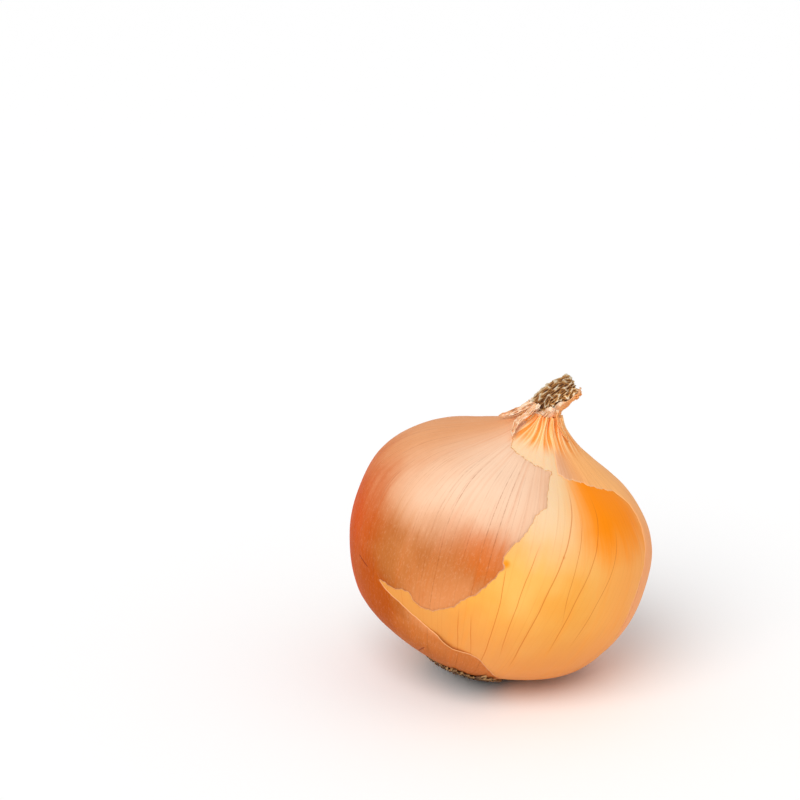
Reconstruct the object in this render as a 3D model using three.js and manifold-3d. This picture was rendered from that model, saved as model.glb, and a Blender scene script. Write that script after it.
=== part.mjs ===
// A whole brown onion, dried and ready for the kitchen, lying tipped over on the side of its root end.
// Millimetres, +Z up. Every piece is made upright round the bulb's own axis, with the widest girth near
// z = 0, and the finished onion is then tilted and set down on the surface z = 0.
//
// Longitude is in degrees round the bulb's axis: 0 faces -Y and 90 faces +X.
// Latitude is the angle of a ray from the bulb's middle above its widest plane, in degrees.

import * as THREE from 'three';
import Module from 'manifold-3d';

// Driving dimensions

const tiltToRight = 17.7; // degrees, how far the neck leans over towards +X
const middleHeight = 35.65; // of the bulb's middle above the surface it rests on

// Radius and height of the bulb's side, from the middle of its base up to the top of the neck
const sideProfile = [
  [0, -33.7], [10.5, -34.2], [16.5, -32.5], [22.5, -30.4], [34.4, -22.9], [41.2, -9.0], [42.4, 3.0],
  [40.0, 14.6], [31.8, 23.9], [19.8, 30.1], [12.0, 34.1], [7.0, 37.9], [4.6, 41.2], [4.1, 44.0],
];

const bulbInset = 0.9; // the gold scale lies this far under the side profile
const skinInset = 0.6; // inner face of the papery outer skin
const skinProud = 0.3; // outer face of the papery outer skin
const clearance = 0.3; // between pieces that touch
const touchGap = 0.15; // between the roots and the margin of the skin

const shoulderColumns = 42; // faces round the bulb up to the shoulder
const neckColumns = 64; // faces round the neck, four for each pleat
const rowStep = 1 / 26; // along the side profile
const neckStart = 0.76; // share of the profile where the pleats begin
const neckTop = 0.915; // share of the profile where the gold scale ends
const skinReach = 0.97; // share of the profile that the outer skin is cut from
const pleatCount = 16;
const pleatDepth = 0.42;

// Torn opening in the outer skin, as longitude and latitude, round from the neck down its left side
const tornOpening = [
  [-43, 78], [-40, 71.5], [-27.6, 64.4], [-12.8, 62.3], [-1.6, 60], [8, 59], [14.5, 58.6], [12.5, 55],
  [10.8, 51.6], [9.6, 42.2], [9.2, 38.1], [4, 33.2], [3.2, 27.9], [-0.4, 22], [-2.8, 17.2], [-4, 14.5],
  [-1.2, 12.2], [-3.6, 9.1], [-5.6, 3.4], [-8.8, -1], [-12.4, -5.4], [-16, -9.9], [-20.4, -13.2],
  [-25.6, -15.2], [-28.4, -15.2], [-30.8, -13.7], [-33.2, -11.7], [-42.4, -14.4], [-50, -14.9],
  [-45.6, -16.6], [-38, -17.9], [-30, -19.9], [-22.4, -22], [-18.4, -22.9], [-14.4, -25], [-9.6, -26.6],
  [-4, -26.4], [0, -27.4], [3.2, -29.5], [8.4, -34.2], [12.4, -38.5], [16.5, -42], [22, -48], [31, -54],
  [42, -56.5], [55, -55], [66, -50], [73, -42], [76, -32], [73, -22], [66, -14], [62, -5], [63, 5],
  [66, 14], [71, 22], [76, 29], [79, 35], [78.5, 41], [76, 45], [73.6, 47.9], [62, 50.8], [48.8, 53.3],
  [39.2, 55.4], [26, 55.8], [19.8, 57.6], [19.6, 64], [21, 71], [24, 78],
];
const openingMiddle = [16, 8];
const skinTopLatitude = 80.3; // where the skin ends round the neck
const skinTopRaggedness = 1.7;

// Middle line of the withered neck stub: x, y, z, and its half width in mm
const stubStations = [
  [-0.9, 0, 41.3, 4.1], [-1.0, -0.1, 42.6, 4.3], [-0.3, -0.1, 44.4, 4.3], [1.0, 0, 46.2, 4.2],
  [2.4, 0.1, 48.0, 3.9], [3.7, 0.2, 49.6, 3.4], [4.8, 0.2, 50.8, 2.7], [5.5, 0.2, 51.7, 1.6],
];
const stubFlatness = 0.82; // its depth over its width
const stubSides = 20;
const stubFolds = 5; // lengthwise creases of the shrivelled leaf bases
const stubFoldDepth = 0.5;

const sleeveThickness = 0.7; // papery sleeve round the foot of the stub
const sleeveCollar = 0.2; // share of the stub that the sleeve covers on its left
const sleeveClimb = 0.62; // how much further it reaches up the right side
const sleeveTear = 0.2; // how much of the collar is torn away at the front
const sleeveShortest = 0.05;
const sleeveFlare = 0.55; // how far the torn edge stands off the stub
const sleeveColumns = 32;
const sleeveRows = 4;

// Torn shreds that hang from the sleeve over the left shoulder: longitude, height and radius along each
const hangingShreds = [
  {
    width: 3.0,
    path: [[-68, 43.0, 5.0], [-74, 41.7, 7.3], [-82, 39.2, 9.2], [-90, 37.0, 10.8], [-96, 35.5, 12.4]],
  },
  {
    width: 2.4,
    path: [
      [-46, 42.8, 4.5], [-48, 41.4, 6.2], [-47, 39.4, 8.3], [-51, 37.4, 9.8], [-44, 35.8, 11.6],
      [-37, 34.6, 13.4],
    ],
  },
  { width: 1.8, path: [[-118, 42.8, 4.5], [-124, 41.2, 6.2], [-128, 39.0, 8.2], [-126, 37.0, 10.2]] },
  { width: 1.9, path: [[150, 42.8, 4.5], [156, 41.4, 6.0], [162, 39.2, 7.8]] },
];
const shredThickness = 0.8;

const rootMiddle = [1.0, -5.0]; // the root plate grew a little to the front of the bulb's axis
const plateRadius = 12.0;
const plateRings = [[-30.8, 0.86], [-33.4, 1], [-34.4, 0.99], [-35.2, 0.9]]; // height and share of the radius
const skinGap = 0.45; // between the root plate and the margin of the skin
const skinMarginHeight = -33.0; // height of that margin
const skinMarginRaggedness = 0.5;
const baseCurve = 0.0066; // rise of the root end for each square mm away from the bulb's axis
const rootCount = 110;
const rootRadius = 0.66;
const rootTipRadius = 0.42;
const rootTop = -34.3;
const rootTipHeight = -36.9; // how low the cut roots reach in the middle of the plate
const rimRootRise = 1.2; // the roots at its rim are shorter by this much
const rootTipSpread = 0.9;
const rootSplay = 0.1; // outward lean of a root for each mm from the middle of the plate
const rootSides = 5;

// Small shared tools

const wasm = await Module();
wasm.setup();

const radians = THREE.MathUtils.degToRad;
const fullTurn = 2 * Math.PI;

function seededRandom(seed) {
  let state = seed;
  return () => {
    state = (state + 0x6d2b79f5) | 0;
    let mixed = Math.imul(state ^ (state >>> 15), 1 | state);
    mixed = (mixed + Math.imul(mixed ^ (mixed >>> 7), 61 | mixed)) ^ mixed;
    return ((mixed ^ (mixed >>> 14)) >>> 0) / 4294967296;
  };
}

function solidFrom(points, faces) {
  const mesh = new wasm.Mesh({
    numProp: 3,
    vertProperties: new Float32Array(points.flatMap((point) => [point.x, point.y, point.z])),
    triVerts: new Uint32Array(faces.flat()),
  });
  return new wasm.Manifold(mesh);
}

// Joins two rings of points, each counted anticlockwise seen from above, lower ring first
function stitchRings(faces, lowStart, lowCount, highStart, highCount) {
  let low = 0;
  let high = 0;
  while (low < lowCount || high < highCount) {
    const lowPoint = lowStart + (low % lowCount);
    const highPoint = highStart + (high % highCount);
    if (high === highCount || (low < lowCount && (low + 1) * highCount <= (high + 1) * lowCount)) {
      faces.push([lowPoint, lowStart + ((low + 1) % lowCount), highPoint]);
      low += 1;
    } else {
      faces.push([lowPoint, highStart + ((high + 1) % highCount), highPoint]);
      high += 1;
    }
  }
}

// Closed solid through a stack of rings, with a point closing it below and above
function ringSolid(rings, lowTip, highTip) {
  const points = [lowTip];
  const faces = [];
  const starts = [];
  for (const ring of rings) {
    starts.push(points.length);
    points.push(...ring);
  }
  points.push(highTip);
  stitchRings(faces, 0, 1, starts[0], rings[0].length);
  for (let row = 1; row < rings.length; row += 1) {
    stitchRings(faces, starts[row - 1], rings[row - 1].length, starts[row], rings[row].length);
  }
  const last = rings.length - 1;
  stitchRings(faces, starts[last], rings[last].length, points.length - 1, 1);
  const real = faces.filter(([a, b, c]) => a !== b && b !== c && c !== a);
  return solidFrom(points, real);
}

// The bulb's surface

const profileCurve = new THREE.CatmullRomCurve3(
  sideProfile.map(([radius, height]) => new THREE.Vector3(radius, 0, height)),
  false,
  'centripetal',
);

// Slow swellings that keep the bulb from being perfectly round, largest at the girth
function swelling(longitude, share) {
  const girth = Math.sin(Math.PI * Math.min(share / 0.9, 1));
  const leftFuller = -0.3 * Math.sin(longitude);
  const lobes = 0.3 * Math.sin(2 * longitude + 0.7) + 0.16 * Math.sin(3 * longitude + 2.1);
  return girth * (leftFuller + lobes + 0.1 * Math.sin(5 * longitude + 9 * share));
}

// Pleats where the scales gather into the neck, of uneven depth round it
function pleat(longitude, share) {
  const gather = THREE.MathUtils.smoothstep(share, neckStart, neckTop);
  const uneven = 1 + 0.45 * Math.sin(3 * longitude + 1.1) + 0.25 * Math.sin(7 * longitude);
  return pleatDepth * gather * uneven * Math.cos(pleatCount * longitude);
}

// Point at a longitude in radians and a share of the side profile, raised from it by an offset
function surfacePoint(longitude, share, offset) {
  const side = profileCurve.getPoint(share);
  const along = profileCurve.getTangent(share);
  const raise = offset + swelling(longitude, share) + pleat(longitude, share);
  const radius = side.x + along.z * raise;
  const height = side.z - along.x * raise;
  return new THREE.Vector3(radius * Math.sin(longitude), -radius * Math.cos(longitude), height);
}

// Solid of everything inside the surface at an offset, from the base up to a share of the profile
function bulbSolid(offset, topShare) {
  const rings = [];
  const rows = Math.round(topShare / rowStep);
  for (let row = 1; row <= rows; row += 1) {
    const share = (topShare * row) / rows;
    const columns = share < neckStart ? shoulderColumns : neckColumns;
    const ring = [];
    for (let column = 0; column < columns; column += 1) {
      ring.push(surfacePoint((fullTurn * column) / columns, share, offset));
    }
    rings.push(ring);
  }
  const top = profileCurve.getPoint(topShare);
  const lowTip = new THREE.Vector3(0, 0, sideProfile[0][1] - offset);
  return ringSolid(rings, lowTip, new THREE.Vector3(0, 0, top.z));
}

// Cutters

function rayDirection(longitude, latitude) {
  const level = Math.cos(radians(latitude));
  const lon = radians(longitude);
  return new THREE.Vector3(level * Math.sin(lon), -level * Math.cos(lon), Math.sin(radians(latitude)));
}

// Wedge of every ray from the bulb's middle that passes through a closed outline of directions
function rayWedge(directions, middle) {
  const nearReach = 4;
  const farReach = 320;
  const side = new THREE.Vector3().crossVectors(middle, new THREE.Vector3(0.01, 1, 0.02)).normalize();
  const up = new THREE.Vector3().crossVectors(side, middle);
  const flat = directions.map((ray) => {
    const angle = middle.angleTo(ray);
    return new THREE.Vector2(ray.dot(side), ray.dot(up)).setLength(angle);
  });
  const ordered = THREE.ShapeUtils.isClockWise(flat) ? [...directions].reverse() : directions;
  const orderedFlat = THREE.ShapeUtils.isClockWise(flat) ? [...flat].reverse() : flat;
  const caps = THREE.ShapeUtils.triangulateShape(orderedFlat, []);
  const count = ordered.length;
  const points = ordered.map((ray) => ray.clone().multiplyScalar(nearReach));
  points.push(...ordered.map((ray) => ray.clone().multiplyScalar(farReach)));
  const faces = [];
  for (const [a, b, c] of caps) {
    faces.push([a, b, c], [c + count, b + count, a + count]);
  }
  for (let near = 0; near < count; near += 1) {
    const next = (near + 1) % count;
    faces.push([next, near, near + count], [next, near + count, next + count]);
  }
  const wedge = solidFrom(points, faces);
  return wedge.volume() > 0 ? wedge : solidFrom(points, faces.map(([a, b, c]) => [c, b, a]));
}

function raggedRim(latitude, raggedness, seed) {
  const random = seededRandom(seed);
  const rim = [];
  const steps = 40;
  for (let step = 0; step < steps; step += 1) {
    const wander = 0.5 * Math.sin((step * fullTurn * 3) / steps) + (random() - 0.5);
    rim.push(rayDirection((360 * step) / steps, latitude + raggedness * wander));
  }
  return rim;
}

// Wedge of directions round the root plate, out to the margin of the skin or a gap short of it
function rootWedge(shortBy) {
  const random = seededRandom(9);
  const rim = [];
  const steps = 44;
  for (let step = 0; step < steps; step += 1) {
    const turn = (fullTurn * step) / steps;
    const reach = plateRadius + skinGap - shortBy + skinMarginRaggedness * (random() - 0.5);
    const x = rootMiddle[0] + reach * Math.cos(turn);
    const y = rootMiddle[1] + reach * Math.sin(turn);
    rim.push(new THREE.Vector3(x, y, skinMarginHeight).normalize());
  }
  return rayWedge(rim, new THREE.Vector3(0, 0, -1));
}

// Everything below the surface that the onion rests on, seen in the upright bulb's own frame
function belowGround() {
  const depth = 60;
  const block = new THREE.BoxGeometry(300, 300, depth).toNonIndexed();
  const corners = [];
  const faces = [];
  const place = block.getAttribute('position');
  const settle = new THREE.Matrix4().makeRotationY(-radians(tiltToRight));
  const found = new Map();
  for (let index = 0; index < place.count; index += 1) {
    const corner = new THREE.Vector3().fromBufferAttribute(place, index);
    const key = corner.toArray().join();
    if (!found.has(key)) {
      found.set(key, corners.length);
      corner.z -= middleHeight + depth / 2;
      corners.push(corner.applyMatrix4(settle));
    }
    if (index % 3 === 0) {
      faces.push([]);
    }
    faces[faces.length - 1].push(found.get(key));
  }
  return solidFrom(corners, faces);
}

const ground = belowGround();

// The gold scale with its pleated neck

function makeBulb() {
  return bulbSolid(-bulbInset, neckTop).subtract(ground);
}

// The papery outer skin, torn open at the front and ragged round the neck and the root plate

function makeOuterSkin() {
  const opening = rayWedge(
    tornOpening.map(([longitude, latitude]) => rayDirection(longitude, latitude)),
    rayDirection(...openingMiddle),
  );
  const aboveSkin = rayWedge(raggedRim(skinTopLatitude, skinTopRaggedness, 5), new THREE.Vector3(0, 0, 1));
  return bulbSolid(skinProud, skinReach)
    .subtract(bulbSolid(-skinInset, skinReach + 0.015))
    .subtract(opening)
    .subtract(aboveSkin)
    .subtract(rootWedge(0))
    .subtract(ground);
}

// The withered neck stub

const stubLine = new THREE.CatmullRomCurve3(
  stubStations.map(([x, y, z]) => new THREE.Vector3(x, y, z)),
  false,
  'centripetal',
);

function stubHalfWidth(share) {
  const place = share * (stubStations.length - 1);
  const low = Math.min(Math.floor(place), stubStations.length - 2);
  return THREE.MathUtils.lerp(stubStations[low][3], stubStations[low + 1][3], place - low);
}

// Shrivelled folds that run along the stub and wind round it a little
function crease(turn, share) {
  const wind = turn + 1.1 * share;
  const fold = Math.abs(Math.sin((stubFolds * wind) / 2 + 0.4));
  const ripple = 0.16 * Math.sin(9 * turn + 14 * share) + 0.12 * Math.sin(17 * share - 4 * turn);
  return stubFoldDepth * (fold - 0.7) + ripple;
}

// Point round the stub, a distance outside its own surface
function stubPoint(turn, share, outside) {
  const centre = stubLine.getPoint(share);
  const along = stubLine.getTangent(share);
  const across = new THREE.Vector3(along.z, 0, -along.x).normalize();
  const deep = new THREE.Vector3().crossVectors(along, across);
  const reach = stubHalfWidth(share) + outside;
  const wide = reach + crease(turn, share);
  const thick = stubFlatness * stubHalfWidth(share) + outside + crease(turn, share);
  return centre.addScaledVector(across, wide * Math.sin(turn)).addScaledVector(deep, -thick * Math.cos(turn));
}

function makeNeckStub() {
  const rings = [];
  const rows = 14;
  for (let row = 0; row <= rows; row += 1) {
    const ring = [];
    for (let side = 0; side < stubSides; side += 1) {
      ring.push(stubPoint((fullTurn * side) / stubSides, row / rows, 0));
    }
    rings.push(ring);
  }
  return ringSolid(rings, stubLine.getPoint(0), stubLine.getPoint(1));
}

// The papery sleeve round the foot of the stub, with the shreds that hang from it

// How far up the stub the torn sleeve reaches: nearly to the tip on the right, a short collar on the left
function sleeveReach(turn) {
  const towardsRight = 0.5 + 0.5 * Math.sin(turn - 0.25);
  const teeth = 0.04 * Math.sin(7 * turn) + 0.03 * Math.sin(11 * turn + 1);
  const fromFront = Math.atan2(Math.sin(turn + 0.3), Math.cos(turn + 0.3));
  const tornAway = sleeveTear * Math.exp(-((fromFront / 0.75) ** 2));
  return Math.max(sleeveShortest, sleeveCollar + sleeveClimb * towardsRight ** 2 + teeth - tornAway);
}

function sleevePoint(turn, level, outside) {
  const share = level * sleeveReach(turn);
  const flare = sleeveFlare * level * level * (0.6 + 0.4 * Math.sin(5 * turn));
  return stubPoint(turn, share, clearance + flare + outside);
}

function makeSleeve() {
  const points = [];
  const faces = [];
  const walk = [];
  for (let row = 0; row <= sleeveRows; row += 1) {
    walk.push([row / sleeveRows, sleeveThickness]);
  }
  for (let row = sleeveRows; row >= 0; row -= 1) {
    walk.push([row / sleeveRows, 0]);
  }
  for (const [level, outside] of walk) {
    for (let column = 0; column < sleeveColumns; column += 1) {
      points.push(sleevePoint((fullTurn * column) / sleeveColumns, level, outside));
    }
  }
  for (let row = 0; row < walk.length; row += 1) {
    const next = (row + 1) % walk.length;
    stitchRings(faces, row * sleeveColumns, sleeveColumns, next * sleeveColumns, sleeveColumns);
  }
  return solidFrom(points, faces);
}

// Flat tapering ribbon along a path, lying with its face away from the bulb's axis
function makeShred({ path, width }) {
  const line = new THREE.CatmullRomCurve3(
    path.map(([longitude, height, radius]) => {
      const lon = radians(longitude);
      return new THREE.Vector3(radius * Math.sin(lon), -radius * Math.cos(lon), height);
    }),
    false,
    'centripetal',
  );
  const rings = [];
  const rows = 7;
  const outline = [[-0.5, 0], [-0.3, -0.5], [0.3, -0.5], [0.5, 0], [0.3, 0.5], [-0.3, 0.5]];
  for (let row = 0; row <= rows; row += 1) {
    const share = row / rows;
    const centre = line.getPoint(share);
    const along = line.getTangent(share);
    const outward = new THREE.Vector3(centre.x, centre.y, 6).normalize();
    const across = new THREE.Vector3().crossVectors(along, outward).normalize();
    const face = new THREE.Vector3().crossVectors(across, along);
    const span = width * (1 - 0.45 * share) * (1 + 0.22 * Math.sin(11 * share));
    rings.push(outline.map(([side, lift]) => centre.clone()
      .addScaledVector(across, side * span)
      .addScaledVector(face, lift * shredThickness + 0.35 * side * Math.sin(5 * share))));
  }
  const shred = ringSolid(rings, line.getPoint(0), line.getPoint(1));
  if (shred.volume() > 0) {
    return shred;
  }
  rings.forEach((ring) => ring.reverse());
  return ringSolid(rings, line.getPoint(0), line.getPoint(1));
}

function makeNeckShreds() {
  const stubRoom = [];
  const rows = 14;
  for (let row = 0; row <= rows; row += 1) {
    const ring = [];
    for (let side = 0; side < sleeveColumns; side += 1) {
      ring.push(stubPoint((fullTurn * side) / sleeveColumns, row / rows, clearance));
    }
    stubRoom.push(ring);
  }
  const room = ringSolid(stubRoom, stubLine.getPoint(0), stubLine.getPoint(1));
  const shoulder = bulbSolid(skinProud + clearance, skinReach);
  let shreds = makeSleeve();
  for (const shred of hangingShreds) {
    shreds = shreds.add(makeShred(shred).subtract(room).subtract(shoulder));
  }
  return shreds;
}

// The root plate with the stubs of its dried roots

// The root end follows the round of the bulb's base
function onRootEnd(x, y, height) {
  return new THREE.Vector3(x, y, height + baseCurve * (x * x + y * y));
}

function makeRootlet(radius, turn, random) {
  const x = rootMiddle[0] + radius * Math.cos(turn);
  const y = rootMiddle[1] + radius * Math.sin(turn);
  const from = onRootEnd(x, y, rootTop);
  const lean = rootSplay * radius + 0.5 * (random() - 0.5);
  const swirl = turn + 1.2 * (random() - 0.5);
  const shorter = rimRootRise * (radius / plateRadius) ** 2;
  const tip = onRootEnd(x, y, rootTipHeight + shorter - rootTipSpread * (random() - 0.5));
  tip.x += lean * Math.cos(swirl);
  tip.y += lean * Math.sin(swirl);
  const rings = [];
  for (const [centre, reach] of [[from, rootRadius], [tip, rootTipRadius]]) {
    const ring = [];
    for (let side = 0; side < rootSides; side += 1) {
      const angle = -(fullTurn * side) / rootSides - turn;
      ring.push(new THREE.Vector3(
        centre.x + reach * Math.cos(angle),
        centre.y + reach * Math.sin(angle),
        centre.z,
      ));
    }
    rings.push(ring);
  }
  const bluntEnd = new THREE.Vector3(0, 0, -0.25);
  return ringSolid(rings, from.clone(), tip.clone().add(bluntEnd));
}

function makeRootTuft() {
  const random = seededRandom(31);
  const columns = 40;
  const rings = plateRings.map(([height, girth]) => {
    const ring = [];
    for (let column = 0; column < columns; column += 1) {
      const turn = (-fullTurn * column) / columns;
      const radius = plateRadius * girth * (1 + 0.02 * Math.sin(7 * turn) + 0.015 * Math.sin(12 * turn + 1));
      const x = rootMiddle[0] + radius * Math.cos(turn);
      ring.push(onRootEnd(x, rootMiddle[1] + radius * Math.sin(turn), height));
    }
    return ring;
  });
  const plateTop = plateRings[0][0];
  const plateBottom = plateRings[plateRings.length - 1][0];
  let tuft = ringSolid(rings, onRootEnd(...rootMiddle, plateTop), onRootEnd(...rootMiddle, plateBottom));
  const goldenTurn = Math.PI * (3 - Math.sqrt(5));
  for (let index = 0; index < rootCount; index += 1) {
    const radius = (plateRadius - rootRadius) * Math.sqrt((index + 0.6) / rootCount);
    tuft = tuft.add(makeRootlet(radius, index * goldenTurn, random));
  }
  const besideSkin = bulbSolid(skinProud + touchGap, neckTop).subtract(rootWedge(touchGap));
  return tuft.subtract(bulbSolid(-skinInset, neckTop)).subtract(besideSkin).subtract(ground);
}

// Assembly

function meshOf(solid, name, colour, roughness) {
  const result = solid.getMesh();
  const geometry = new THREE.BufferGeometry();
  geometry.setAttribute('position', new THREE.BufferAttribute(new Float32Array(result.vertProperties), 3));
  geometry.setIndex(new THREE.BufferAttribute(new Uint32Array(result.triVerts), 1));
  geometry.computeVertexNormals();
  const material = new THREE.MeshStandardMaterial({ color: colour, roughness, metalness: 0 });
  const mesh = new THREE.Mesh(geometry, material);
  mesh.name = name;
  return mesh;
}

const onion = new THREE.Group();
onion.add(meshOf(makeBulb(), 'bulb', 0xe9a24c, 0.35));
onion.add(meshOf(makeOuterSkin(), 'outer_skin', 0xd98a58, 0.45));
onion.add(meshOf(makeNeckStub(), 'neck_stub', 0x5a4a30, 0.85));
onion.add(meshOf(makeNeckShreds(), 'neck_shreds', 0xd8a878, 0.7));
onion.add(meshOf(makeRootTuft(), 'root_tuft', 0x6b5338, 0.9));
onion.rotation.y = radians(tiltToRight);
onion.position.z = middleHeight;

const wholeOnion = new THREE.Group();
wholeOnion.add(onion);
wholeOnion.updateMatrixWorld(true);
const footprint = new THREE.Box3().setFromObject(wholeOnion, true);
wholeOnion.position.x = -(footprint.min.x + footprint.max.x) / 2;
wholeOnion.position.y = -(footprint.min.y + footprint.max.y) / 2;

export default wholeOnion;
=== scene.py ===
import math
import bpy
import numpy as np
from mathutils import Matrix, Vector, kdtree
from mathutils.geometry import delaunay_2d_cdt


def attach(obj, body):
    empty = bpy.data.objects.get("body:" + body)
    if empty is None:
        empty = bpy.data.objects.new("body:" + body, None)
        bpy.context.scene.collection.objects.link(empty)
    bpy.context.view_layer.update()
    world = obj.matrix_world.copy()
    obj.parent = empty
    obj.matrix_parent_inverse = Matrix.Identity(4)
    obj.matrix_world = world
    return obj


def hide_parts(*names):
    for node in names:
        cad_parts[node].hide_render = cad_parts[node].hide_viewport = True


# Dressing for one brown onion, tipped over on the side of its root end.
# Shapes are worked out in millimetres round the upright bulb's own axis, then set down in the frame.
# Longitude 0 faces -Y and +90 degrees faces +X; share runs from the base up the side to the neck.

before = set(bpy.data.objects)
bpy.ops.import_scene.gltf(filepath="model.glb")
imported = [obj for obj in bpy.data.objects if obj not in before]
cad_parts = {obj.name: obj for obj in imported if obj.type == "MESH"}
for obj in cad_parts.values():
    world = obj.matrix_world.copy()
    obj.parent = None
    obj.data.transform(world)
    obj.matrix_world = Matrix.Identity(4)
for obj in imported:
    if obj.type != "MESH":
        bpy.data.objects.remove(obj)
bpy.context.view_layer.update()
print("frame loaded")

onionPlace = {
    "tiltToRight": 17.7,  # degrees
    "middle": (-0.0315, -0.0771, 35.65),  # bulb's middle, mm
}


def setDown():
    turn = Matrix.Rotation(math.radians(onionPlace["tiltToRight"]), 4, "Y")
    return Matrix.Scale(0.001, 4) @ Matrix.Translation(onionPlace["middle"]) @ turn


toFrame = np.array(setDown())


# helpers for meshes

def placed(points, lowest=0.0):
    # bulb millimetres to frame metres, pressed flat where it meets the surface it lies on
    spots = np.asarray(points, dtype=float) @ toFrame[:3, :3].T + toFrame[:3, 3]
    spots[:, 2] = np.maximum(spots[:, 2], np.asarray(lowest) * 0.001)
    return spots


def addToScene(name, data):
    thing = bpy.data.objects.new(name, data)
    bpy.context.scene.collection.objects.link(thing)
    return thing


def makePiece(name, points, faces, material, lowest=0.0):
    mesh = bpy.data.meshes.new(name)
    mesh.from_pydata(placed(points, lowest).tolist(), [], [tuple(int(i) for i in face) for face in faces])
    mesh.validate()
    mesh.polygons.foreach_set("use_smooth", [True] * len(mesh.polygons))
    inBulb = mesh.attributes.new("inBulb", "FLOAT_VECTOR", "POINT")
    inBulb.data.foreach_set("vector", np.asarray(points, dtype=np.float32).ravel())
    mesh.update()
    mesh.materials.append(material)
    return addToScene(name, mesh)


def keepNumbers(piece, name, numbers):
    layer = piece.data.attributes.new(name, "FLOAT", "POINT")
    layer.data.foreach_set("value", np.asarray(numbers, dtype=np.float32))


def roundTurn(steps):
    return np.linspace(0, 2 * np.pi, steps, endpoint=False)


def aroundAxis(lon, height, radius):
    # a spot beside the bulb's axis, from its longitude in degrees
    turn = math.radians(lon)
    return radius * math.sin(turn), -radius * math.cos(turn), height


def ringFaces(rowCount, columnCount):
    # quads between rows of a closed tube, first row lowest
    row, column = np.meshgrid(np.arange(rowCount - 1), np.arange(columnCount), indexing="ij")
    after = (column + 1) % columnCount
    a = row * columnCount + column
    b = row * columnCount + after
    return np.stack([a, b, b + columnCount, a + columnCount], axis=-1).reshape(-1, 4).tolist()


def closedTube(points, rowCount, columnCount, low, high):
    # a tube with a fan of triangles to one point at each end
    faces = ringFaces(rowCount, columnCount)
    last = (rowCount - 1) * columnCount
    for column in range(columnCount):
        after = (column + 1) % columnCount
        faces.append((after, column, len(points)))
        faces.append((last + column, last + after, len(points) + 1))
    return np.vstack([points, low, high]), faces


def cappedTube(rowCount, columnCount):
    # a tube with one flat face at each end
    last = (rowCount - 1) * columnCount
    ends = [tuple(range(columnCount))[::-1], tuple(range(last, last + columnCount))]
    return ringFaces(rowCount, columnCount) + ends


def grid(shares, columnCount):
    # share and angle of every point of a tube
    return np.meshgrid(shares, roundTurn(columnCount), indexing="ij")


def waves(along, seed, longest, count=5, falloff=0.62):
    # a wandering line made of a few sine waves, about -1 to 1
    rng = np.random.default_rng(seed)
    total = np.zeros_like(along, dtype=float)
    size, weight, whole = longest, 1.0, 0.0
    for _ in range(count):
        total += weight * np.sin(2 * np.pi * along / size + rng.uniform(0, 2 * np.pi))
        whole += weight
        size *= rng.uniform(0.42, 0.58)
        weight *= falloff
    return total / whole * 1.5


# the bulb's surface

bulbForm = {
    "sideProfile": [
        (0, -33.7), (10.5, -34.2), (16.5, -32.5), (22.5, -30.4), (34.4, -22.9), (41.2, -9.0), (42.4, 3.0),
        (40.0, 14.6), (31.8, 23.9), (19.8, 30.1), (12.0, 34.1), (7.0, 37.9), (4.6, 41.2), (4.1, 44.0),
    ],  # radius and height up the side, mm
    "neckStart": 0.76,
    "neckTop": 0.915,
    "pleatCount": 16,
    "pleatDepth": 0.42,
    "finePleats": 36,
    "finePleatDepth": 0.2,
    "hairPleats": 82,
}


def unit(vectors):
    return vectors / np.maximum(np.linalg.norm(vectors, axis=-1, keepdims=True), 1e-9)


def splineAt(stations, share):
    # a smooth curve through the stations, with its unit tangent
    knots = np.asarray(stations, dtype=float)
    knots = np.vstack([2 * knots[0] - knots[1], knots, 2 * knots[-1] - knots[-2]])
    gaps = np.maximum(np.linalg.norm(np.diff(knots, axis=0), axis=1) ** 0.5, 1e-4)
    place = np.clip(share, 0, 1) * (len(stations) - 1)
    span = np.minimum(place.astype(int), len(stations) - 2)
    w = (place - span)[..., None]
    p0, p1, p2, p3 = (knots[span + k] for k in range(4))
    g0, g1, g2 = (gaps[span + k][..., None] for k in range(3))
    lean1 = ((p1 - p0) / g0 - (p2 - p0) / (g0 + g1) + (p2 - p1) / g1) * g1
    lean2 = ((p2 - p1) / g1 - (p3 - p1) / (g1 + g2) + (p3 - p2) / g2) * g1
    c2 = -3 * p1 + 3 * p2 - 2 * lean1 - lean2
    c3 = 2 * p1 - 2 * p2 + lean1 + lean2
    spot = p1 + lean1 * w + c2 * w**2 + c3 * w**3
    along = lean1 + 2 * c2 * w + 3 * c3 * w**2
    return spot, unit(along)


def smoothStep(value, low, high):
    t = np.clip((value - low) / (high - low), 0, 1)
    return t * t * (3 - 2 * t)


def swelling(lon, share):
    girth = np.sin(np.pi * np.minimum(share / 0.9, 1))
    lobes = 0.3 * np.sin(2 * lon + 0.7) + 0.16 * np.sin(3 * lon + 2.1) - 0.3 * np.sin(lon)
    return girth * (lobes + 0.1 * np.sin(5 * lon + 9 * share))


def pleats(lon, share):
    form = bulbForm
    gather = smoothStep(share, form["neckStart"], form["neckTop"])
    uneven = 1 + 0.45 * np.sin(3 * lon + 1.1) + 0.25 * np.sin(7 * lon)
    broad = form["pleatDepth"] * uneven * np.cos(form["pleatCount"] * lon)
    ridge = 1 - 2 * np.abs(np.sin(form["finePleats"] * pleatSway(lon, share) / 2))
    return gather * (broad + form["finePleatDepth"] * ridge * (1 + 0.5 * np.sin(5 * lon + 2)))


def pleatSway(lon, share):
    return lon + 0.05 * np.sin(4 * lon + 22 * share) + 0.03 * np.sin(9 * lon - 30 * share)


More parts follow.
